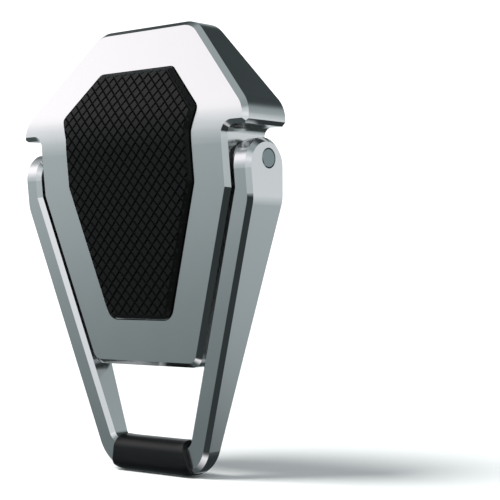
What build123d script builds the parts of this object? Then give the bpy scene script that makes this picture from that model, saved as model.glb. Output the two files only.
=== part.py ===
"""Folding laptop stand foot: a kite-shaped aluminium plate with a rubber grip pad, and a V-shaped
prop leg that nests round the plate and swings out behind it on two pivot pins.

Frame: X to the right, -Y is the pad side (front), +Y is the flat back, Z up.  The folded foot
stands on its rubber sleeve at z = 0, and the origin is under the middle of its outer box.
All sizes are in millimetres.  The script writes one STEP file for each piece into parts/.
"""
from build123d import *
import math
import os

# ---------------------------------------------------------------- driving dimensions
HEIGHT = 70.0              # folded height, from the sleeve's underside to the plate's top edge
BACK_Y = 5.14              # flat back face of the plate
LEG_BACK_Y = 4.64          # flat back face of the leg, a little inside the plate's
RIDGE_DEPTH = 9.65         # from the back face to the sharp ridge of the two front facets
RIDGE_Z = 53.9             # height of that ridge
UPPER_TILT = 15.6          # degrees that the upper front facet leans back
LOWER_TILT = 6.2           # degrees that the lower front facet leans back
RIDGE_RADIUS = 18.0        # blend between the two facets
EDGE_CHAMFER = 0.7         # polished chamfer round the plate's front edge
LEG_CHAMFER = 0.65         # polished chamfer round the leg's edges
LIP_CHAMFER = 0.6          # lower outer edge of each side lip
BACK_CHAMFER = 0.3         # broken edge round the plate's back

TOP_HALF = 10.4            # plate: half width of the top edge
TIP_HALF = 24.35           # plate: half width over the two side lips
TIP_Z = 55.9               # plate: upper corner of the lips
LIP_Z = 53.1               # plate: underside of the lips, which stops the opened leg
WALL_HALF = 20.3           # plate: half width between the leg's two ears
TAIL_HALF = 11.333         # plate: half width of the tail
TAIL_Z = 17.05             # plate: lower edge of the tail
TAPER = 1.0 / 3.0          # sideways run for each millimetre of height, on plate and leg alike

PAD_THICK = 1.4            # rubber pad
PAD_PROUD = 0.9            # how far the pad stands out of the plate
PAD_SLOPE = 0.65           # sloping edge round the pad's face
GLUE_THICK = 0.15          # adhesive sheet under the pad
GLUE_INSET = 0.5           # how far the adhesive stays inside the pad's edge
PAD_GAP = 0.12             # gap round the pad in its pocket
POCKET_CHAMFER = 0.15      # bright edge round the pocket
PAD_OUTLINE = [(7.8, 62.75), (14.5, 56.1), (13.45, 52.6), (13.45, 45.0), (6.55, 24.4)]
PAD_RADII = [1.2, 1.1, 2.0, 2.0, 2.1]

SIDE_GAP = 0.72            # between the plate's side wall and the leg
LEG_WIDTH = 3.85           # thickness of the tapered legs, across their run
EAR_WIDTH = 3.45           # thickness of the ears
LEG_BOTTOM = 0.12          # underside of the leg at its lower corners
BAR_TOP = 5.0              # top of the crossbar
BAR_UNDER = 1.1            # underside of the crossbar where the sleeve is let into it
BAR_CHAMFER = 1.2          # its lower edges there
LEG_CORNER = 6.0           # outer radius of the leg's lower corners
INNER_CORNER = 1.6         # inner radius of the leg's lower corners
BEND_RADIUS = 5.0          # outer radius where the ears turn into the tapered legs

SLEEVE_WALL = 0.75         # how far the rubber sleeve stands out in front and above
SLEEVE_BACK = 0.45         # how far it stands out of the leg's back face
SLEEVE_ROUND = 1.9         # rounding along the sleeve
SLEEVE_END_X = 7.7         # the sleeve's ends are cut on a slant through this point ...
SLEEVE_END_Z = 4.0
SLEEVE_END_TILT = 14.0     # ... leaning this many degrees from upright
SLEEVE_REACH = 12.0        # height above every part of the sleeve

PIN_Z = 48.2               # height of the pivot axis
PIN_TO_BACK = 4.3          # pivot axis to the plate's back face
PIN_RADIUS = 1.5
PIN_LENGTH = 10.0
PIN_CHAMFER = 0.2
PIN_CLEARANCE = 0.03       # radial running clearance in the leg's ears
BORE_SPARE = 0.4           # blind bore in the plate, deeper than the pin
EAR_CENTRE_Z = 47.05       # centre of the rounded top of each ear
WASHER_RADIUS = 2.8
WASHER_BORE = 1.6
THRUST_THICK = 0.30        # slip washer against the leg
SPRING_THICK = 0.25        # sprung steel washer against the plate
SPRING_DISH = 0.14         # how far the spring washer is dished

# ---------------------------------------------------------------- worked-out values
FAR = 80.0                 # longer than the foot, for cutting shapes that run right through
FACING = 0.9               # part of a face's normal along an axis that counts as facing it
SIDE_FACING = 0.3          # the same for the leg's tapered side walls
RIDGE_Y = BACK_Y - RIDGE_DEPTH
UPPER_SLOPE = math.tan(math.radians(UPPER_TILT))
LOWER_SLOPE = math.tan(math.radians(LOWER_TILT))
BEND_Z = TAIL_Z + (WALL_HALF - TAIL_HALF) / TAPER
TAPER_COS = math.cos(math.atan(TAPER))
EAR_INNER = WALL_HALF + SIDE_GAP
EAR_OUTER = EAR_INNER + EAR_WIDTH
PIN_Y = BACK_Y - PIN_TO_BACK
PIN_END = EAR_OUTER - PIN_LENGTH
FOOT_FRONT = RIDGE_Y + RIDGE_Z * LOWER_SLOPE   # the leg's slanted front, at z = 0
POCKET_DEPTH = PAD_THICK - PAD_PROUD + GLUE_THICK


# ---------------------------------------------------------------- helpers
def both_halves(points):
    """A closed outline from its right half, listed from the top down."""
    return points + [(-x, z) for x, z in reversed(points)]


def plan_bar(points, radii, y_front=-FAR, y_back=FAR):
    """A bar along Y with a mirrored outline in X and Z and rounded corners."""
    outline = both_halves(points)
    face = make_face(Polyline(*outline, close=True))
    for (x, z), radius in zip(outline, radii + radii[::-1]):
        if radius > 0:
            corner = face.vertices().sort_by_distance(Vector(x, z, 0))[0]
            face = fillet(corner, radius)
    return extrude(Plane.XZ.offset(-y_back) * face, y_back - y_front)


def side_bar(face):
    """A bar along X with a section drawn in Y and Z."""
    return extrude(Plane.YZ.offset(-FAR) * face, 2 * FAR)


def faceted_block(push=0.0):
    """Everything behind the plate's two-facet front, moved back by push, up to the flat back."""
    ridge = (RIDGE_Y + push, RIDGE_Z)
    top = (ridge[0] + (FAR - RIDGE_Z) * UPPER_SLOPE, FAR)
    bottom = (ridge[0] + RIDGE_Z * LOWER_SLOPE, 0)
    face = make_face(Polyline(top, ridge, bottom, (BACK_Y, 0), (BACK_Y, FAR), close=True))
    corner = face.vertices().sort_by_distance(Vector(*ridge))[0]
    return side_bar(fillet(corner, RIDGE_RADIUS))


def rim_edges(faces):
    """The edges that belong to just one of the given faces: the rim of the area they cover."""
    edges = [edge for face in faces for edge in face.edges()]
    return [edge for edge in edges if sum(edge.is_same(other) for other in edges) == 1]


def front_faces(solid):
    """The faces that look forward, -Y, without the floor of the plate's pocket."""
    faces = []
    for face in solid.faces():
        centre = face.center()
        slope = UPPER_SLOPE if centre.Z > RIDGE_Z else LOWER_SLOPE
        behind_facet = centre.Y - RIDGE_Y - abs(centre.Z - RIDGE_Z) * slope
        if face.normal_at(centre).Y < -FACING and behind_facet < POCKET_DEPTH / 2:
            faces.append(face)
    return faces


def near_pad(point):
    """Whether a point lies over the pad's box, seen from the front."""
    half_width = max(x for x, z in PAD_OUTLINE) + 2 * PAD_GAP
    heights = [z for x, z in PAD_OUTLINE]
    return abs(point.X) < half_width and min(heights) - 1 < point.Z < max(heights) + 1


def pin_cylinder(radius, x_start, x_end, side):
    """A cylinder on the pivot axis between two distances from the middle, on one side."""
    centre = side * (x_start + x_end) / 2
    axis_turn = Rotation(0, 90, 0)
    return Pos(centre, PIN_Y, PIN_Z) * axis_turn * Cylinder(radius, x_end - x_start)


def leg_x(z, offset):
    """X of a line along the leg at height z, offset outwards, square to the plate's taper."""
    return TAIL_HALF + (z - TAIL_Z) * TAPER + SIDE_GAP + offset / TAPER_COS


def grown_pad(amount):
    """The pad's outline, grown outwards by an amount, as a bar along Y."""
    bar = plan_bar(PAD_OUTLINE, PAD_RADII, -FAR, BACK_Y - 1)
    face = bar.faces().sort_by(Axis.Y)[0]
    grown = offset(face, amount, kind=Kind.ARC) if amount else face
    return extrude(grown, FAR, dir=(0, 1, 0))


# ---------------------------------------------------------------- the pieces
def make_body_plate():
    """The plate: two front facets, side lips, a pocket for the pad and two blind pin bores."""
    outline = [
        (TOP_HALF, HEIGHT),
        (TIP_HALF, TIP_Z),
        (TIP_HALF, LIP_Z),
        (WALL_HALF, LIP_Z),
        (WALL_HALF, BEND_Z),
        (TAIL_HALF, TAIL_Z),
    ]
    radii = [5.0, 4.6, 0, 1.3, 0, 2.3]
    plate = faceted_block() & plan_bar(outline, radii)
    plate = chamfer(rim_edges(front_faces(plate)), EDGE_CHAMFER)
    lip_edges = [edge for edge in plate.edges().filter_by(Axis.Y)
                 if abs(abs(edge.center().X) - TIP_HALF) < 0.01 and edge.center().Z < LIP_Z + 0.01]
    plate = chamfer(lip_edges, LIP_CHAMFER)
    back_face = plate.faces().sort_by(Axis.Y)[-1]
    plate = chamfer(back_face.edges(), BACK_CHAMFER)
    plate -= grown_pad(PAD_GAP) - faceted_block(POCKET_DEPTH)
    pocket_rim = [edge for edge in rim_edges(front_faces(plate)) if near_pad(edge.center())]
    plate = chamfer(pocket_rim, POCKET_CHAMFER)
    for side in (-1, 1):
        plate -= pin_cylinder(PIN_RADIUS, PIN_END - BORE_SPARE, WALL_HALF + 1, side)
    return plate


def make_grip_pad():
    """The rubber pad, which follows the bend of the plate's front."""
    pad = (grown_pad(0) & faceted_block(-PAD_PROUD)) - faceted_block(PAD_THICK - PAD_PROUD)
    return chamfer(rim_edges(front_faces(pad)), PAD_SLOPE)


def make_pad_adhesive():
    """The adhesive sheet between the pad and the floor of its pocket."""
    under_pad = PAD_THICK - PAD_PROUD
    return (grown_pad(-GLUE_INSET) & faceted_block(under_pad)) - faceted_block(POCKET_DEPTH)


def leg_section():
    """The leg seen from the side: a slanted front, a flat back and a round top at the ears."""
    slope_cos = math.cos(math.radians(LOWER_TILT))
    slope_sin = math.sin(math.radians(LOWER_TILT))
    front_at_centre = RIDGE_Y + (RIDGE_Z - EAR_CENTRE_Z) * LOWER_SLOPE
    radius = (LEG_BACK_Y - front_at_centre) / (1 + 1 / slope_cos)
    centre_y = LEG_BACK_Y - radius
    front_end = (centre_y - radius * slope_cos, EAR_CENTRE_Z - radius * slope_sin)
    foot_front = (FOOT_FRONT, 0)
    arc = ThreePointArc(front_end, (centre_y, EAR_CENTRE_Z + radius), (LEG_BACK_Y, EAR_CENTRE_Z))
    straight = Polyline((LEG_BACK_Y, EAR_CENTRE_Z), (LEG_BACK_Y, 0), foot_front, front_end)
    return make_face([arc, straight])


def sleeve_length():
    """Everything between the two slanted ends of the sleeve, as a bar along Y."""
    lean = math.tan(math.radians(SLEEVE_END_TILT))
    ends = [(SLEEVE_END_X + (SLEEVE_END_Z - z) * lean, z) for z in (SLEEVE_REACH, -SLEEVE_REACH)]
    return plan_bar(ends, [0, 0])


def sleeve_recess():
    """What is milled off the crossbar's underside, so that the sleeve lies flush there."""
    past = 1.0
    high = BAR_UNDER + BAR_CHAMFER + past
    face = make_face(Polyline(
        (LEG_BACK_Y + past, high),
        (LEG_BACK_Y - BAR_CHAMFER, BAR_UNDER),
        (FOOT_FRONT + BAR_CHAMFER, BAR_UNDER),
        (FOOT_FRONT - past, high),
        (FOOT_FRONT - past, -past),
        (LEG_BACK_Y + past, -past),
        close=True,
    ))
    return side_bar(face) & sleeve_length()


def make_leg_frame():
    """The V-shaped leg: two ears, two tapered legs and a crossbar, with bores for the pins."""
    outer_bend = TAIL_Z + (EAR_OUTER - leg_x(TAIL_Z, LEG_WIDTH)) / TAPER
    outer = [(EAR_OUTER, FAR), (EAR_OUTER, outer_bend), (leg_x(LEG_BOTTOM, LEG_WIDTH), LEG_BOTTOM)]
    inner = [(EAR_INNER, FAR), (EAR_INNER, BEND_Z), (leg_x(BAR_TOP, 0), BAR_TOP)]
    frame = plan_bar(outer, [0, BEND_RADIUS, LEG_CORNER]) - plan_bar(inner, [0, 0, INNER_CORNER])
    leg = frame & side_bar(leg_section())
    walls = [face for face in leg.faces() if abs(face.normal_at(face.center()).X) > SIDE_FACING]
    floor_and_bar = [face for face in leg.faces() if abs(face.normal_at(face.center()).Z) > FACING]
    leg = chamfer(rim_edges(walls + floor_and_bar), LEG_CHAMFER) - sleeve_recess()
    for side in (-1, 1):
        leg -= pin_cylinder(PIN_RADIUS + PIN_CLEARANCE, EAR_INNER - 1, EAR_OUTER + 1, side)
    return leg


def make_foot_sleeve(leg):
    """The rubber sleeve round the crossbar and the lower corners, with slanted ends."""
    sleeve_top = BAR_TOP + SLEEVE_WALL
    outer = [(leg_x(FAR / 2, LEG_WIDTH + LEG_BOTTOM), FAR / 2),
             (leg_x(0, LEG_WIDTH + LEG_BOTTOM), 0)]
    inner = [(leg_x(FAR / 2, -SLEEVE_WALL), FAR / 2), (leg_x(sleeve_top, -SLEEVE_WALL), sleeve_top)]
    loop = plan_bar(outer, [0, LEG_CORNER + LEG_BOTTOM])
    loop -= plan_bar(inner, [0, INNER_CORNER - SLEEVE_WALL])
    front = FOOT_FRONT - SLEEVE_WALL
    back = LEG_BACK_Y + SLEEVE_BACK
    high = FAR / 4
    side = make_face(Polyline(
        (front, 0), (back, 0), (back, high), (front - high * LOWER_SLOPE, high), close=True))
    loop &= side_bar(side)
    flat_faces = [face for face in loop.faces() if abs(face.normal_at(face.center()).Y) > FACING]
    long_edges = [edge for edge in rim_edges(flat_faces) if edge.center().Z < high - 1]
    loop = fillet(long_edges, SLEEVE_ROUND)
    return (loop & sleeve_length()) - leg


def make_pivot_pin(side):
    """A plain steel dowel, pressed into the plate and flush with the outside of the ear."""
    pin = pin_cylinder(PIN_RADIUS, PIN_END, EAR_OUTER, side)
    return chamfer(pin.edges().filter_by(GeomType.CIRCLE), PIN_CHAMFER)


def make_thrust_washer(side):
    """A slip washer that keeps the leg's ear off the spring washer."""
    start = WALL_HALF + SPRING_THICK + SPRING_DISH
    disc = pin_cylinder(WASHER_RADIUS, start, start + THRUST_THICK, side)
    return disc - pin_cylinder(WASHER_BORE, start - 1, start + 1, side)


def make_spring_washer(side):
    """A dished steel washer that presses the ear outwards, so that the leg stays where it is put."""
    section = make_face(Polyline(
        (WALL_HALF + SPRING_DISH, WASHER_BORE),
        (WALL_HALF + SPRING_DISH + SPRING_THICK, WASHER_BORE),
        (WALL_HALF + SPRING_THICK, WASHER_RADIUS),
        (WALL_HALF, WASHER_RADIUS),
        close=True,
    ))
    washer = Pos(0, PIN_Y, PIN_Z) * revolve(section, Axis.X)
    return washer if side > 0 else mirror(washer, Plane.YZ)


def main():
    os.makedirs("parts", exist_ok=True)
    leg = make_leg_frame()
    pieces = {
        "body_plate": make_body_plate(),
        "grip_pad": make_grip_pad(),
        "pad_adhesive": make_pad_adhesive(),
        "leg_frame": leg,
        "foot_sleeve": make_foot_sleeve(leg),
    }
    for side, name in ((-1, "left"), (1, "right")):
        pieces[f"pivot_pin_{name}"] = make_pivot_pin(side)
        pieces[f"thrust_washer_{name}"] = make_thrust_washer(side)
        pieces[f"spring_washer_{name}"] = make_spring_washer(side)
    for name, piece in pieces.items():
        export_step(piece, f"parts/{name}.step")
        box = piece.bounding_box()
        print(f"{name}: {piece.volume:.1f} mm3, y {box.min.Y:.2f} to {box.max.Y:.2f}, "
              f"z {box.min.Z:.2f} to {box.max.Z:.2f}")


main()
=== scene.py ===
# %% [markdown]
# # A folding foot for a laptop stand
# The foot is a kite-shaped aluminium plate, a little over 5 cm tall, with a knurled rubber pad let
# into its front.  A V-shaped prop leg nests round the plate and swings out behind it on two steel
# pins, and a rubber sleeve keeps its foot from slipping.  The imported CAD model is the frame: it
# says where everything is, and this lesson only adds what the eye looks for, which is the cut
# rubber, the soft sleeve, the satin metal and its polished edges.

# %% Load the frame
import math

import bmesh
import bpy
from mathutils import Matrix, Vector


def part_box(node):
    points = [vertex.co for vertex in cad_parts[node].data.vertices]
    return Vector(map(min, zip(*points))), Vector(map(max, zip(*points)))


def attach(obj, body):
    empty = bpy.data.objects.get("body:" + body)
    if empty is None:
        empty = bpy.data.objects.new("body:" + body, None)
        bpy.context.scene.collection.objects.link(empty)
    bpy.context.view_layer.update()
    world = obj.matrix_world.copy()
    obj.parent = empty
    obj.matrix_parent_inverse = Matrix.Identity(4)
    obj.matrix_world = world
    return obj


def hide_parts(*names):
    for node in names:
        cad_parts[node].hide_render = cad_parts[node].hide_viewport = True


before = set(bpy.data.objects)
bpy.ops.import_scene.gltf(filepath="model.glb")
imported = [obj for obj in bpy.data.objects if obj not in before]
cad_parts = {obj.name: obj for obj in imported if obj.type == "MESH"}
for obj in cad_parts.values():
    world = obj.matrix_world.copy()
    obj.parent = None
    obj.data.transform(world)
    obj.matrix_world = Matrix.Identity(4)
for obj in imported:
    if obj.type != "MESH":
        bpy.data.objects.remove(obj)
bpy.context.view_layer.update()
scene = bpy.context.scene
MM = 0.001


# %% [markdown]
# ## Small helpers for node trees
# Every material, the world and the pad's knurl are node trees.  `add` makes one node, sets it up
# and wires it in one line, so that a tree reads from top to bottom.

# %% Node helpers
def add(tree, kind, inputs=None, **settings):
    """One node: its settings first, then each input as a value or as a link from a socket."""
    node = tree.nodes.new(kind)
    for name, value in settings.items():
        setattr(node, name, value)
    for key, value in (inputs or {}).items():
        if isinstance(value, bpy.types.NodeSocket):
            tree.links.new(value, node.inputs[key])
        else:
            node.inputs[key].default_value = value
    return node


def calc(tree, operation, *values, clamp=False):
    """The output of a Math node."""
    node = add(tree, "ShaderNodeMath", dict(enumerate(values)), operation=operation, use_clamp=clamp)
    return node.outputs[0]


def smooth_step(tree, value, start, end):
    """0 where the value is under start, 1 where it is over end, and an S-curve between."""
    settings = {"interpolation_type": "SMOOTHSTEP"}
    node = add(tree, "ShaderNodeMapRange", {0: value, 1: start, 2: end}, **settings)
    return node.outputs[0]


MIX_FACTOR, MIX_FIRST, MIX_SECOND, MIX_RESULT = 0, 6, 7, 2    # a Mix node's sockets for colours


def mix_colours(tree, factor, first, second):
    """The first colour where the factor is 0, the second where it is 1."""
    inputs = {MIX_FACTOR: factor, MIX_FIRST: first, MIX_SECOND: second}
    return add(tree, "ShaderNodeMix", inputs, data_type="RGBA").outputs[MIX_RESULT]


print("helpers:", *(helper.__name__ for helper in (add, calc, smooth_step, mix_colours)))


# %% [markdown]
# ## Camera
# A long lens stands about 23 cm off, level with the lower half of the foot, so the upright edges
# stay nearly parallel and the pad and the right-hand pivot both face it.  The foot sits in the
# left half of the frame.

# %% Camera
CAMERA_PLACE = Vector((162.2, -162.67, 32.0)) * MM
CAMERA_TURN = 40.86      # degrees round to the foot's right
CAMERA_RISE = 0.75       # degrees that it looks up
CAMERA_ROLL = 0.24
CAMERA_LENS = 105.6

camera_data = bpy.data.cameras.new("camera")
camera_data.lens = CAMERA_LENS
camera_data.sensor_width = 36
camera_data.clip_start = 10 * MM
camera_data.clip_end = 20
camera = bpy.data.objects.new("camera", camera_data)
scene.collection.objects.link(camera)
turn = Matrix.Rotation(math.radians(CAMERA_TURN), 4, "Z")
tip = Matrix.Rotation(math.radians(90 + CAMERA_RISE), 4, "X")
roll = Matrix.Rotation(math.radians(-CAMERA_ROLL), 4, "Z")
camera.matrix_world = Matrix.Translation(CAMERA_PLACE) @ turn @ tip @ roll
scene.camera = camera
scene.view_settings.view_transform = "Standard"
print("camera lens", camera_data.lens, "mm")


# %% [markdown]
# ## Floor
# A pale sheet catches the soft shadow.  Polished metal would mirror it as a hard horizon, so
# glossy rays pass through it and the metal sees only the studio.

# %% Floor
FLOOR_HALF = 3.0
FLOOR_WHITE = (0.92, 0.93, 0.925, 1)

floor_mesh = bpy.data.meshes.new("floor")
corners = [(x * FLOOR_HALF, y * FLOOR_HALF, 0) for x, y in ((-1, -1), (1, -1), (1, 1), (-1, 1))]
floor_mesh.from_pydata(corners, [], [(0, 1, 2, 3)])
floor = bpy.data.objects.new("floor", floor_mesh)
scene.collection.objects.link(floor)
floor.visible_glossy = False
floor_paint = bpy.data.materials.new("floor_paper")
floor_paint.use_nodes = True
paper = floor_paint.node_tree.nodes["Principled BSDF"]
paper.inputs["Base Color"].default_value = FLOOR_WHITE
paper.inputs["Roughness"].default_value = 1
paper.inputs["Specular IOR Level"].default_value = 0
floor_mesh.materials.append(floor_paint)
print("floor", 2 * FLOOR_HALF, "m square")


# %% [markdown]
# ## Studio
# Satin metal has no colour of its own: it shows the room.  So the studio is painted round the
# foot as four tall soft walls, each a gradient from straight down to straight up.  The front left
# wall is dim near the floor and bright above, which is what turns the plate's upper facet white
# and leaves the lower one grey.  The camera itself sees plain white.

# %% Studio walls
# Each wall is a list of (height, brightness), where height is -1 straight down and 1 straight up.
FRONT_LEFT = [(-1.0, 0.08), (-0.62, 0.06), (-0.34, 0.11), (-0.20, 0.185), (-0.08, 0.35), (0.04, 0.46),
              (0.20, 0.64), (0.38, 0.95), (0.54, 0.98), (0.68, 0.24), (0.90, 0.24), (1.0, 0.34)]
FRONT_RIGHT = [(-1.0, 0.90), (-0.84, 0.90), (-0.70, 0.035), (-0.26, 0.03), (-0.08, 0.48), (0.10, 0.60),
               (0.38, 0.80), (0.60, 0.60), (0.80, 0.30), (1.0, 0.34)]
BACK_LEFT = [(-1.0, 0.10), (-0.40, 0.30), (0.0, 0.55), (0.14, 0.95), (0.34, 0.80), (0.52, 0.06),
             (0.90, 0.06), (1.0, 0.34)]
BACK_RIGHT = [(-1.0, 0.03), (-0.56, 0.03), (-0.42, 0.36), (-0.16, 0.56), (0.00, 0.68), (0.14, 0.62),
              (0.30, 0.34), (0.44, 0.30), (0.60, 0.042), (0.90, 0.04), (1.0, 0.34)]
SIDE_GAIN = 0.20         # how much brighter the front left wall gets towards its far end
STUDIO_STRENGTH = 1.3    # makes up for the metal, which reflects about three quarters
SHADE_TINT = Vector((0.81, 1.02, 1.04))    # dim light is a little green
GLOW_TINT = Vector((1.0, 0.965, 0.995))    # bright light is a little pink
far_left_wall = [(place, brightness * (1 + SIDE_GAIN)) for place, brightness in FRONT_LEFT]
print("stops on the studio walls:", [len(w) for w in (FRONT_LEFT, FRONT_RIGHT, BACK_LEFT, BACK_RIGHT)])


# %% A wall's gradient
def wall_ramp(tree, height, stops):
    """A soft vertical gradient."""
    node = add(tree, "ShaderNodeValToRGB", {0: height})
    ramp = node.color_ramp
    ramp.interpolation = "EASE"
    while len(ramp.elements) < len(stops):
        ramp.elements.new(0.5)
    for element, (place, _) in zip(ramp.elements, stops):
        element.position = (place + 1) / 2
    for element, (_, brightness) in zip(ramp.elements, stops):
        tint = SHADE_TINT.lerp(GLOW_TINT, min(1, brightness))
        element.color = (*(tint * brightness), 1)
    return node.outputs[0]


print("gradient helper:", wall_ramp.__name__)


# %% Studio light
world = bpy.data.worlds.new("studio")
scene.world = world
world.use_nodes = True
studio = world.node_tree
studio.nodes.clear()
direction = add(studio, "ShaderNodeTexCoord").outputs["Generated"]
split = add(studio, "ShaderNodeSeparateXYZ", {0: direction}).outputs
height = calc(studio, "MULTIPLY_ADD", split["Z"], 0.5, 0.5)
far_left = smooth_step(studio, split["X"], -0.66, -0.80)
left = mix_colours(studio, far_left, wall_ramp(studio, height, FRONT_LEFT),
                   wall_ramp(studio, height, far_left_wall))
front = mix_colours(studio, smooth_step(studio, split["X"], -0.20, 0.45), left,
                    wall_ramp(studio, height, FRONT_RIGHT))
back = mix_colours(studio, smooth_step(studio, split["X"], -0.85, -0.60),
                   wall_ramp(studio, height, BACK_LEFT), wall_ramp(studio, height, BACK_RIGHT))
walls = mix_colours(studio, smooth_step(studio, split["Y"], -0.05, 0.40), front, back)
seen = add(studio, "ShaderNodeLightPath").outputs["Is Camera Ray"]
light = mix_colours(studio, seen, walls, (1, 1, 1, 1))
background = add(studio, "ShaderNodeBackground", {"Color": light, "Strength": STUDIO_STRENGTH})
add(studio, "ShaderNodeOutputWorld", {"Surface": background.outputs[0]})
print("studio strength", STUDIO_STRENGTH)

# %% [markdown]
# One broad lamp, high in front on the left, draws the shadow on the floor.  It is switched off
# for glossy rays, because its own reflection would be a hard white spot on the metal.

# %% Lamp
LAMP_STRENGTH = 3.2
LAMP_SPREAD = 28         # degrees across, which sets how soft the shadow's edge is
LAMP_FROM = Vector((-0.35, -0.55, 1.0))

lamp_data = bpy.data.lights.new("lamp", "SUN")
lamp_data.energy = LAMP_STRENGTH
lamp_data.angle = math.radians(LAMP_SPREAD)
lamp = bpy.data.objects.new("lamp", lamp_data)
scene.collection.objects.link(lamp)
lamp.rotation_mode = "QUATERNION"
lamp.rotation_quaternion = LAMP_FROM.to_track_quat("Z", "Y")
lamp.visible_glossy = False
print("lamp strength", lamp_data.energy)


# %% [markdown]
# ## Shared finishes
# A shader node group is made once and used in several materials with other numbers.  The first
# gives any surface a fine grain: a noise about a tenth of a millimetre across that both tilts the
# surface and changes how rough it is, as glass-bead blasting does to aluminium.

# %% Grain
def new_group(name, inputs, outputs):
    """An empty shader group and its input and output sockets."""
    group = bpy.data.node_groups.new(name, "ShaderNodeTree")
    for socket, (kind, value) in inputs.items():
        made = group.interface.new_socket(socket, in_out="INPUT", socket_type=kind)
        if value is not None:
            made.default_value = value
    for socket, kind in outputs.items():
        group.interface.new_socket(socket, in_out="OUTPUT", socket_type=kind)
    return group, group.nodes.new("NodeGroupInput").outputs, group.nodes.new("NodeGroupOutput").inputs


def use_group(tree, group, **values):
    """The outputs of a group placed in a tree; underscores in a name stand for spaces."""
    node = tree.nodes.new("ShaderNodeGroup")
    node.node_tree = group
    for key, value in values.items():
        socket = node.inputs[key.replace("_", " ")]
        if isinstance(value, bpy.types.NodeSocket):
            tree.links.new(value, socket)
        else:
            socket.default_value = value
    return node.outputs


FLOAT, VECTOR = "NodeSocketFloat", "NodeSocketVector"
BROAD_SHARE = 0.02       # the cloudy noise has 50 times larger cells than the grain

grain, given, result = new_group(
    "fine_grain",
    {"Place": (VECTOR, None), "Grains per Metre": (FLOAT, 9000.0), "Base Roughness": (FLOAT, 0.2),
     "Roughness Swing": (FLOAT, 0.05)},
    {"Height": FLOAT, "Roughness": FLOAT, "Cloud": FLOAT},
)
fine = add(grain, "ShaderNodeTexNoise", {"Vector": given["Place"], "Detail": 3.0,
                                         "Scale": given["Grains per Metre"]}).outputs["Fac"]
broad_scale = calc(grain, "MULTIPLY", given["Grains per Metre"], BROAD_SHARE)
broad = add(grain, "ShaderNodeTexNoise", {"Vector": given["Place"], "Detail": 4.0,
                                          "Scale": broad_scale}).outputs["Fac"]
both = calc(grain, "ADD", fine, broad)
swing = calc(grain, "MULTIPLY", calc(grain, "SUBTRACT", both, 1.0), given["Roughness Swing"])
grain.links.new(fine, result["Height"])
grain.links.new(calc(grain, "ADD", given["Base Roughness"], swing), result["Roughness"])
grain.links.new(broad, result["Cloud"])
print("group", grain.name)

# %% [markdown]
# The second group finds the polished chamfers.  The foot is cut from bar, blasted, and then its
# edges are milled at 45 degrees, which leaves them bright.  A chamfer is the only surface whose
# normal is neither along nor across one axis of the piece, so a band of that normal picks it out.

# %% Polished chamfers
chamfer, given, result = new_group(
    "milled_chamfer",
    {"Normal": (VECTOR, None), "Axis": (VECTOR, (0.0, 1.0, 0.0)), "From": (FLOAT, 0.3),
     "To": (FLOAT, 0.9)},
    {"Mask": FLOAT},
)
along = add(chamfer, "ShaderNodeVectorMath", {0: given["Normal"], 1: given["Axis"]},
            operation="DOT_PRODUCT").outputs["Value"]
along = calc(chamfer, "ABSOLUTE", along)
mask = calc(chamfer, "MULTIPLY", calc(chamfer, "GREATER_THAN", along, given["From"]),
            calc(chamfer, "LESS_THAN", along, given["To"]))
chamfer.links.new(mask, result["Mask"])
print("group", chamfer.name)

# %% [markdown]
# The third draws turning rings round an axis, for the ends of the pins.

# %% Turning rings
rings, given, result = new_group(
    "turning_rings",
    {"Place": (VECTOR, None), "Centre": (VECTOR, (0.0, 0.0, 0.0)), "Rings per Metre": (FLOAT, 8000.0)},
    {"Height": FLOAT},
)
offset = add(rings, "ShaderNodeVectorMath", {0: given["Place"], 1: given["Centre"]},
             operation="SUBTRACT").outputs[0]
flat = add(rings, "ShaderNodeVectorMath", {0: offset, 1: (0.0, 1.0, 1.0)},
           operation="MULTIPLY").outputs[0]
reach = add(rings, "ShaderNodeVectorMath", {0: flat}, operation="LENGTH").outputs["Value"]
phase = calc(rings, "MULTIPLY", calc(rings, "MULTIPLY", reach, given["Rings per Metre"]), math.tau)
rings.links.new(calc(rings, "MULTIPLY_ADD", calc(rings, "SINE", phase), 0.5, 0.5), result["Height"])
print("group", rings.name)


# %% [markdown]
# ## Aluminium
# Plate and leg are the same anodised aluminium.  It is all metal in the shader, a pale grey, and
# its look comes from roughness: a soft 0.19 on the blasted faces, a sharp 0.10 on the chamfers.

# %% Aluminium
SATIN = 0.19
POLISHED = 0.10
METAL_GRAINS = 9000.0    # per metre
PATCH_SHADE = 0.96       # the brightness of the duller patches, as a share of the rest
GRAIN_BUMP = 0.35        # how strongly the grain tilts the surface
BUMP_REACH = 0.004 * MM


def new_material(name):
    """A material, its tree and its Principled shader."""
    material = bpy.data.materials.new(name)
    material.use_nodes = True
    return material, material.node_tree, material.node_tree.nodes["Principled BSDF"]


def bump(tree, shader, height, strength, distance):
    """The height tilts the shader's surface."""
    node = add(tree, "ShaderNodeBump", {"Height": height, "Strength": strength,
                                        "Distance": distance})
    tree.links.new(node.outputs[0], shader.inputs["Normal"])


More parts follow.
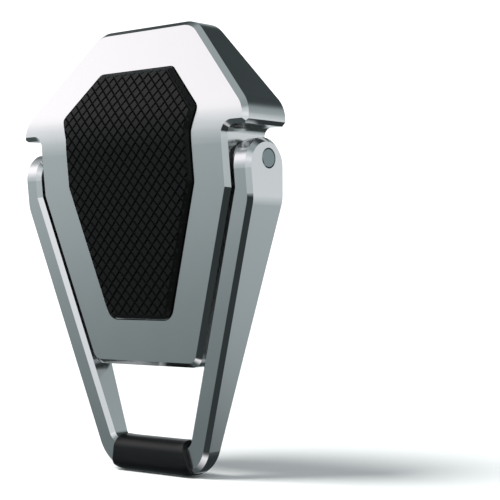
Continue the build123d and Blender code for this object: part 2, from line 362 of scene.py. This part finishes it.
def aluminium(name, colour, axis, chamfer_from, chamfer_to):
    """Satin aluminium whose chamfers are polished."""
    material, tree, shader = new_material(name)
    place = add(tree, "ShaderNodeTexCoord").outputs
    grained = use_group(tree, grain, Place=place["Object"], Base_Roughness=SATIN,
                        Grains_per_Metre=METAL_GRAINS, Roughness_Swing=0.06)
    edge = use_group(tree, chamfer, Normal=place["Normal"], Axis=axis, From=chamfer_from,
                     To=chamfer_to)["Mask"]
    keep = calc(tree, "SUBTRACT", 1.0, edge)
    satin = calc(tree, "MULTIPLY", grained["Roughness"], keep)
    tree.links.new(calc(tree, "MULTIPLY_ADD", edge, POLISHED, satin), shader.inputs["Roughness"])
    dull = tuple(channel * PATCH_SHADE for channel in colour)
    cloudy = mix_colours(tree, grained["Cloud"], (*dull, 1), (*colour, 1))
    tree.links.new(mix_colours(tree, edge, cloudy, (*colour, 1)), shader.inputs["Base Color"])
    shader.inputs["Metallic"].default_value = 1
    bump(tree, shader, calc(tree, "MULTIPLY", grained["Height"], keep), GRAIN_BUMP, BUMP_REACH)
    return material


# The plate's chamfers join its front to its walls, so y tells them apart.  The leg's join its front
# and back to its sides, so x does.
ALONG_Y, ALONG_X = (0.0, 1.0, 0.0), (1.0, 0.0, 0.0)
plate_metal = aluminium("plate_satin_aluminium", (0.74, 0.745, 0.745), ALONG_Y, 0.3, 0.9)
leg_metal = aluminium("leg_satin_aluminium", (0.735, 0.74, 0.745), ALONG_X, 0.35, 0.85)
for node_name, metal in (("body_plate", plate_metal), ("leg_frame", leg_metal)):
    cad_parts[node_name].data.materials.clear()
    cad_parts[node_name].data.materials.append(metal)
print("metals:", plate_metal.name, leg_metal.name)


# %% [markdown]
# ## Small metal and plastic pieces
# The pins are hardened steel dowels, greyer than aluminium, with faint turning rings on their
# ends.  The washers behind the ears are a sprung steel one and a slippery black plastic one, and
# the pad stands on a thin sheet of glue.

# %% Pins, washers and glue
PIN_GREY = (0.28, 0.335, 0.345)
RING_SHADE = 0.92        # the brightness of the turning rings, as a share of the rest
pin_low, pin_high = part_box("pivot_pin_right")
pin_centre = (Vector(pin_low) + Vector(pin_high)) / 2

pin_steel, tree, shader = new_material("pin_ground_steel")
place = add(tree, "ShaderNodeTexCoord").outputs["Object"]
turned = use_group(tree, rings, Place=place, Centre=(0.0, pin_centre.y, pin_centre.z),
                   Rings_per_Metre=7000.0)
steel = use_group(tree, grain, Place=place, Base_Roughness=0.34, Grains_per_Metre=12000.0)
tree.links.new(mix_colours(tree, turned["Height"], (*PIN_GREY, 1),
                           (*(RING_SHADE * c for c in PIN_GREY), 1)), shader.inputs["Base Color"])
tree.links.new(steel["Roughness"], shader.inputs["Roughness"])
shader.inputs["Metallic"].default_value = 1
bump(tree, shader, turned["Height"], 0.25, BUMP_REACH)


SMALL_PATCH_SHADE = 0.8    # the brightness of the duller patches on the small pieces


def grained_material(name, colour, roughness, metallic, grains):
    """A plain finish with a fine grain."""
    material, tree, shader = new_material(name)
    place = add(tree, "ShaderNodeTexCoord").outputs["Object"]
    grained = use_group(tree, grain, Place=place, Base_Roughness=roughness,
                        Grains_per_Metre=grains)
    dull = tuple(channel * SMALL_PATCH_SHADE for channel in colour)
    tree.links.new(mix_colours(tree, grained["Cloud"], (*dull, 1), (*colour, 1)),
                   shader.inputs["Base Color"])
    tree.links.new(grained["Roughness"], shader.inputs["Roughness"])
    shader.inputs["Metallic"].default_value = metallic
    bump(tree, shader, grained["Height"], 0.3, BUMP_REACH)
    return material


spring_steel = grained_material("washer_spring_steel", (0.55, 0.56, 0.58), 0.28, 1, 15000.0)
slip_plastic = grained_material("washer_slip_plastic", (0.03, 0.03, 0.032), 0.45, 0, 8000.0)
glue = grained_material("pad_glue_film", (0.06, 0.06, 0.06), 0.6, 0, 5000.0)
small_pieces = {"pad_adhesive": glue}
for side in ("left", "right"):
    small_pieces["pivot_pin_" + side] = pin_steel
    small_pieces["spring_washer_" + side] = spring_steel
    small_pieces["thrust_washer_" + side] = slip_plastic
for node_name, material in small_pieces.items():
    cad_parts[node_name].data.materials.clear()
    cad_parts[node_name].data.materials.append(material)
print("small pieces:", len(small_pieces))


# %% [markdown]
# ## Rubber
# The pad is matt black rubber.  The flat tops of its diamonds are the blackest part and the
# grooves between them are painted a little greyer, a painted fill light that makes up for the
# shade inside them, so the colour follows an attribute that the knurling below leaves on the
# faces.  The sleeve is the same rubber, smoother, with fine scuffs.

# %% Rubber
LAND_BLACK = (0.0018, 0.0020, 0.0020)
# painted fill light: the grooves' greyer colour stands in for light that the shade inside them takes
# away
GROOVE_PAINTED_FILL_GREY = (0.0070, 0.0070, 0.0072)
PAD_ROUGHNESS = 0.34
PAD_GRAINS = 5200.0      # per metre
PAD_GLOSS = 0.19
PAD_BUMP_REACH = 0.02 * MM

pad_rubber, tree, shader = new_material("pad_matt_rubber")
place = add(tree, "ShaderNodeTexCoord").outputs["Object"]
grained = use_group(tree, grain, Place=place, Base_Roughness=PAD_ROUGHNESS,
                    Grains_per_Metre=PAD_GRAINS, Roughness_Swing=0.2)
land = add(tree, "ShaderNodeAttribute", attribute_name="land").outputs["Fac"]
# lands vary at random in how black they are, while the grooves keep the painted fill grey
land_wear_and_groove_fill = calc(tree, "MULTIPLY", land, calc(tree, "MULTIPLY_ADD", grained["Cloud"], 0.6, 0.6))
tree.links.new(mix_colours(tree, land_wear_and_groove_fill, (*GROOVE_PAINTED_FILL_GREY, 1), (*LAND_BLACK, 1)),
               shader.inputs["Base Color"])
tree.links.new(grained["Roughness"], shader.inputs["Roughness"])
shader.inputs["Specular IOR Level"].default_value = PAD_GLOSS
bump(tree, shader, grained["Height"], 0.5, PAD_BUMP_REACH)
print("pad rubber:", pad_rubber.name)

# %% Sleeve rubber
SLEEVE_BLACK = (0.0012, 0.0013, 0.0014)
SCUFF_GREY = (0.0030, 0.0032, 0.0032)
SCUFFS_PER_METRE = 2600.0
SCUFF_STRETCH = (0.12, 1.0, 1.0)    # scuffs run along the bar
SLEEVE_ROUGHNESS = 0.36
SLEEVE_GRAINS = 3500.0   # per metre
SLEEVE_GLOSS = 0.38
SLEEVE_BUMP_REACH = 0.01 * MM

sleeve_rubber, tree, shader = new_material("sleeve_smooth_rubber")
place = add(tree, "ShaderNodeTexCoord").outputs["Object"]
grained = use_group(tree, grain, Place=place, Base_Roughness=SLEEVE_ROUGHNESS,
                    Grains_per_Metre=SLEEVE_GRAINS, Roughness_Swing=0.12)
stretched = add(tree, "ShaderNodeMapping", {"Vector": place, "Scale": SCUFF_STRETCH})
scuffs = add(tree, "ShaderNodeTexNoise", {"Vector": stretched.outputs[0], "Scale": SCUFFS_PER_METRE,
                                          "Detail": 5.0}).outputs["Fac"]
tree.links.new(mix_colours(tree, smooth_step(tree, scuffs, 0.45, 0.75), (*SLEEVE_BLACK, 1),
                           (*SCUFF_GREY, 1)), shader.inputs["Base Color"])
tree.links.new(grained["Roughness"], shader.inputs["Roughness"])
shader.inputs["Specular IOR Level"].default_value = SLEEVE_GLOSS
bump(tree, shader, grained["Height"], 0.35, SLEEVE_BUMP_REACH)
print("sleeve rubber:", sleeve_rubber.name)


# %% [markdown]
# ## The knurled pad
# A real pad is moulded with two sets of parallel grooves that cross at nearly a right angle and
# leave rows of diamonds.  Drawing each diamond would need a trim at the outline, so the pad is
# made as its mould is milled: every groove is one long bar, and the bars are cut out of the plain
# pad.  The pad bends over the plate's ridge, so the bars are laid out flat and then wrapped over
# the same two slopes and the round between them.

# %% The pad's bend
UPPER_LEAN = math.radians(15.6)
LOWER_LEAN = math.radians(6.2)
RIDGE_ROUND = 18.0 * MM
RIDGE_HEIGHT = 53.9 * MM
PAD_PROUD = 0.9 * MM
PLATE_RIDGE = -4.51 * MM     # where the two facets of the plate would meet if they weren't rounded

half_bend = (UPPER_LEAN + LOWER_LEAN) / 2
middle = (UPPER_LEAN - LOWER_LEAN) / 2
to_centre = RIDGE_ROUND / math.cos(half_bend)
bend_centre = Vector((0, PLATE_RIDGE - PAD_PROUD + to_centre * math.cos(middle),
                      RIDGE_HEIGHT - to_centre * math.sin(middle)))


# %% Groove tree
def pad_inputs():
    """The knurl's sizes: name, kind of socket and value."""
    return [
        ("Pitch", FLOAT, 1.37 * MM),
        ("Groove Width", FLOAT, 0.44 * MM),
        ("Floor Width", FLOAT, 0.22 * MM),
        ("Groove Depth", FLOAT, 0.38 * MM),
        ("Groove Angle", FLOAT, math.radians(46)),
        ("Row Shift", FLOAT, 0.0),
        ("Grooves", "NodeSocketInt", 37),
        ("Groove Length", FLOAT, 54 * MM),
        ("Bend Radius", FLOAT, RIDGE_ROUND),
        ("Upper Lean", FLOAT, UPPER_LEAN),
        ("Lower Lean", FLOAT, LOWER_LEAN),
        ("Bend Centre", VECTOR, tuple(bend_centre)),
        ("Rubber", "NodeSocketMaterial", pad_rubber),
    ]


CLEAR_ABOVE = 0.3 * MM       # how far each bar stands out of the pad, for a clean cut
BAR_STEPS = 60               # divisions along a bar, so that it can bend

knurl = bpy.data.node_groups.new("knurl_grooves", "GeometryNodeTree")
knurl.interface.new_socket("Geometry", in_out="INPUT", socket_type="NodeSocketGeometry")
for name, kind, value in pad_inputs():
    knurl.interface.new_socket(name, in_out="INPUT", socket_type=kind)
knurl.interface.new_socket("Geometry", in_out="OUTPUT", socket_type="NodeSocketGeometry")
given = add(knurl, "NodeGroupInput").outputs


def vector_of(x, y, z):
    """A vector from three values or sockets."""
    return add(knurl, "ShaderNodeCombineXYZ", {0: x, 1: y, 2: z}).outputs[0]


def parts_of(vector):
    """The three numbers of a vector."""
    return add(knurl, "ShaderNodeSeparateXYZ", {0: vector}).outputs


print("knurl inputs:", len(pad_inputs()))


# %% One bar
# a long box, narrower at its lower side
bar_height = calc(knurl, "ADD", given["Groove Depth"], CLEAR_ABOVE)
size = vector_of(given["Groove Length"], given["Groove Width"], bar_height)
bar = add(knurl, "GeometryNodeMeshCube", {"Size": size, "Vertices X": BAR_STEPS}).outputs[0]
here = parts_of(add(knurl, "GeometryNodeInputPosition").outputs[0])
is_low = calc(knurl, "LESS_THAN", here[2], 0.0)
narrow = calc(knurl, "DIVIDE", given["Floor Width"], given["Groove Width"])
squeeze = calc(knurl, "MULTIPLY_ADD", is_low, calc(knurl, "SUBTRACT", narrow, 1.0), 1.0)
lift = calc(knurl, "SUBTRACT", calc(knurl, "MULTIPLY", bar_height, 0.5), given["Groove Depth"])
tapered = vector_of(here[0], calc(knurl, "MULTIPLY", here[1], squeeze),
                    calc(knurl, "ADD", here[2], lift))
bar = add(knurl, "GeometryNodeSetPosition", {"Geometry": bar, "Position": tapered}).outputs[0]
print("bar of", BAR_STEPS, "steps")

# %% A row of bars side by side
row_start = calc(knurl, "MULTIPLY", calc(knurl, "SUBTRACT", given["Grooves"], 1.0), -0.5)
row_start = calc(knurl, "ADD", calc(knurl, "MULTIPLY", row_start, given["Pitch"]),
                 given["Row Shift"])
row = add(knurl, "GeometryNodeMeshLine", {
    "Count": given["Grooves"], "Start Location": vector_of(0.0, row_start, 0.0),
    "Offset": vector_of(0.0, given["Pitch"], 0.0)}).outputs[0]
bars = add(knurl, "GeometryNodeInstanceOnPoints", {"Points": row, "Instance": bar}).outputs[0]
bars = add(knurl, "GeometryNodeRealizeInstances", {0: bars}).outputs[0]

# the wrap: along the pad's front, then round the bend by the same length
flat_place = parts_of(add(knurl, "GeometryNodeInputPosition").outputs[0])
angle = calc(knurl, "DIVIDE", flat_place[1], given["Bend Radius"])
angle = calc(knurl, "MINIMUM", angle, given["Upper Lean"])
angle = calc(knurl, "MAXIMUM", angle, calc(knurl, "MULTIPLY", given["Lower Lean"], -1.0))
past = calc(knurl, "SUBTRACT", flat_place[1], calc(knurl, "MULTIPLY", angle, given["Bend Radius"]))
outwards = calc(knurl, "ADD", given["Bend Radius"], flat_place[2])
sine = calc(knurl, "SINE", angle)
cosine = calc(knurl, "COSINE", angle)
wrapped_y = calc(knurl, "SUBTRACT", calc(knurl, "MULTIPLY", past, sine),
                 calc(knurl, "MULTIPLY", outwards, cosine))
wrapped_z = calc(knurl, "ADD", calc(knurl, "MULTIPLY", past, cosine),
                 calc(knurl, "MULTIPLY", outwards, sine))
wrapped = add(knurl, "ShaderNodeVectorMath", {
    0: vector_of(flat_place[0], wrapped_y, wrapped_z), 1: given["Bend Centre"]}).outputs[0]

# cut one set of grooves, then the set that crosses it
mark = {"data_type": "FLOAT", "domain": "FACE"}
pad_stock = add(knurl, "GeometryNodeStoreNamedAttribute",
                {"Geometry": given["Geometry"], "Name": "land", "Value": 1.0}, **mark).outputs[0]
for direction in (1.0, -1.0):
    turned = vector_of(0.0, 0.0, calc(knurl, "MULTIPLY", given["Groove Angle"], direction))
    cutters = add(knurl, "GeometryNodeTransform", {"Geometry": bars, "Rotation": turned}).outputs[0]
    cutters = add(knurl, "GeometryNodeSetPosition",
                  {"Geometry": cutters, "Position": wrapped}).outputs[0]
    # the groove faces are marked 0, which later gives them the painted fill grey
    cutters = add(knurl, "GeometryNodeStoreNamedAttribute",
                  {"Geometry": cutters, "Name": "land", "Value": 0.0}, **mark).outputs[0]
    cut = add(knurl, "GeometryNodeMeshBoolean", {"Mesh 1": pad_stock, "Mesh 2": cutters},
              operation="DIFFERENCE", solver="MANIFOLD")
    pad_stock = cut.outputs[0]
pad_mesh = add(knurl, "GeometryNodeRealizeInstances", {0: pad_stock}).outputs[0]
pad_mesh = add(knurl, "GeometryNodeSetMaterial", {"Geometry": pad_mesh,
                                                  "Material": given["Rubber"]}).outputs[0]
add(knurl, "NodeGroupOutput", {0: pad_mesh})
print("tree", knurl.name, "with", len(knurl.nodes), "nodes")


# %% Cut the pad
MERGE_WITHIN = 0.0005 * MM


def merged_copy(node_name, name, material):
    """A copy of a CAD node's mesh with its loose triangles joined up."""
    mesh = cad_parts[node_name].data.copy()
    mesh.name = name
    work = bmesh.new()
    work.from_mesh(mesh)
    bmesh.ops.remove_doubles(work, verts=work.verts, dist=MERGE_WITHIN)
    work.to_mesh(mesh)
    work.free()
    mesh.materials.clear()
    mesh.materials.append(material)
    return mesh


def object_of(mesh, name):
    """A new object at the origin that shows the mesh."""
    made = bpy.data.objects.new(name, mesh)
    scene.collection.objects.link(made)
    return made


stock = object_of(merged_copy("grip_pad", "pad_stock", pad_rubber), "pad_stock")
cutting = stock.modifiers.new("knurl", "NODES")
cutting.node_group = knurl
sockets = {item.name: item.identifier for item in knurl.interface.items_tree
           if item.in_out == "INPUT"}
for name, _, value in pad_inputs():
    cutting[sockets[name]] = value
depsgraph = bpy.context.evaluated_depsgraph_get()
knurled = bpy.data.meshes.new_from_object(stock.evaluated_get(depsgraph))
knurled.name = "knurled_pad"
bpy.data.objects.remove(stock)
knurled.shade_flat()
pad = object_of(knurled, "knurled_pad")
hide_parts("grip_pad")
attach(pad, "plate")
print("pad:", len(knurled.polygons), "faces, materials", [m.name for m in knurled.materials])


# %% [markdown]
# ## The sleeve
# A short tube of rubber is pushed over the leg's crossbar.  Its ends are cut on a slant where the
# bar turns up into the legs, and they spread a little, so the tube is slimmer in the middle.
# It is lofted: one rounded section is carried along the bar, out over the end, back along the
# inside and out over the other end, which closes it like a long ring.

# %% Sleeve sizes
sleeve_low, sleeve_high = (Vector(corner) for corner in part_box("foot_sleeve"))
SLEEVE_WALL = 0.75 * MM
SLEEVE_TOP = 5.75 * MM
SLEEVE_BACK = sleeve_high.y
FRONT_AT_FLOOR = 0.595 * MM
FRONT_SLOPE = math.tan(LOWER_LEAN)    # the front leans with the leg
END_X = 7.7 * MM                      # the slanted ends pass through this point ...
END_Z = 4.0 * MM
END_SLOPE = math.tan(math.radians(14))    # ... and lean out downwards
CORNER_ROUND = 6.12 * MM              # the underside turns up into the legs on this radius ...
CORNER_START = 6.14 * MM              # ... from this far out
SECTION_ROUND = 1.9 * MM
WAIST = 0.09 * MM                     # how much slimmer the sleeve is in the middle
RIM_ROUND = 0.16 * MM                 # the rounding of the edge at each end
RIM_CORNER = [(0.0, 0.0), (0.5, 0.13), (0.87, 0.5), (1.0, 1.0)]    # a quarter circle, as out and in
print("sleeve", [round(v / MM, 2) for v in sleeve_high - sleeve_low], "mm")


# %% The sleeve's section
CORNER_STEPS = 8
SMALLEST_ROUND = 0.5 * MM


def section(inset):
    """The rounded outline of the sleeve in y and z, moved inwards by an inset."""
    radius = max(SECTION_ROUND - inset, SMALLEST_ROUND)
    low = inset
    high = SLEEVE_TOP - inset
    back = SLEEVE_BACK - inset
    points = []
    for index, (at_back, at_top) in enumerate(((1, 0), (1, 1), (0, 1), (0, 0))):
        z = high - radius if at_top else low + radius
        front = FRONT_AT_FLOOR - FRONT_SLOPE * z + inset
        y = back - radius if at_back else front + radius
        start = (index - 1) * math.pi / 2
        for step in range(CORNER_STEPS + 1):
            angle = start + step / CORNER_STEPS * math.pi / 2
            points.append((y + radius * math.cos(angle), z + radius * math.sin(angle)))
    return points


print("section of", len(section(0.0)), "points")


# %% Sections along the bar
CORNER_END = 0.95 * CORNER_ROUND       # the corner's arc is followed no further than this
STATIONS = 36
SLANT_POWER = 3                        # the slant fades quickly away from the ends
WAIST_POWER = 6                        # and so does the flare
SETTLE_ROUNDS = 4                      # slant and lift depend on each other, so they settle in turns


def underside(x):
    """How high the sleeve's underside is at x, where the leg's corner lifts it."""
    out = min(max(abs(x) - CORNER_START, 0), CORNER_END)
    return CORNER_ROUND - math.sqrt(CORNER_ROUND ** 2 - out ** 2)


def ring(along, push, inset):
    """One section at along, -1 to 1 from end to end, pushed out along the bar."""
    side = math.copysign(1, along)
    points = []
    for y, level in section(inset):
        z = level
        for _ in range(SETTLE_ROUNDS):
            slant = (END_Z - z) * END_SLOPE * abs(along) ** SLANT_POWER
            x = side * (abs(along) * END_X + slant + push)
            lifted = underside(x)
            z = lifted + level * (SLEEVE_TOP - lifted) / SLEEVE_TOP
        points.append((x, y, z))
    return points


def sleeve_rings():
    """All sections, out over the right end, back inside and out over the left end."""
    rim = [((push - 1) * RIM_ROUND, inset * RIM_ROUND) for push, inset in RIM_CORNER]
    rim += [(push, SLEEVE_WALL - inset) for push, inset in reversed(rim)]
    found = []
    for station in range(1, STATIONS):
        along = -1 + 2 * station / STATIONS
        waist = WAIST * (1 - along ** WAIST_POWER)
        found.append(ring(along, 0.0, waist))
    found += [ring(1.0, push, inset) for push, inset in rim]
    for station in range(STATIONS - 1, 0, -1):
        found.append(ring(-1 + 2 * station / STATIONS, 0.0, SLEEVE_WALL))
    found += [ring(-1.0, push, inset) for push, inset in reversed(rim)]
    return found


print("sections round the sleeve:", len(sleeve_rings()))


# %% Loft the sleeve
loft = bmesh.new()
rows = [[loft.verts.new(point) for point in points] for points in sleeve_rings()]
for row, next_row in zip(rows, rows[1:] + rows[:1]):
    for index in range(len(row)):
        after = (index + 1) % len(row)
        loft.faces.new((row[index], row[after], next_row[after], next_row[index]))
bmesh.ops.remove_doubles(loft, verts=loft.verts, dist=MERGE_WITHIN)
bmesh.ops.recalc_face_normals(loft, faces=loft.faces)
sleeve_mesh = bpy.data.meshes.new("rubber_sleeve")
loft.to_mesh(sleeve_mesh)
loft.free()
sleeve_mesh.shade_smooth()
sleeve_mesh.materials.append(sleeve_rubber)
sleeve = object_of(sleeve_mesh, "rubber_sleeve")
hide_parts("foot_sleeve")
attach(sleeve, "leg")
print("sleeve:", len(sleeve_mesh.polygons), "faces")
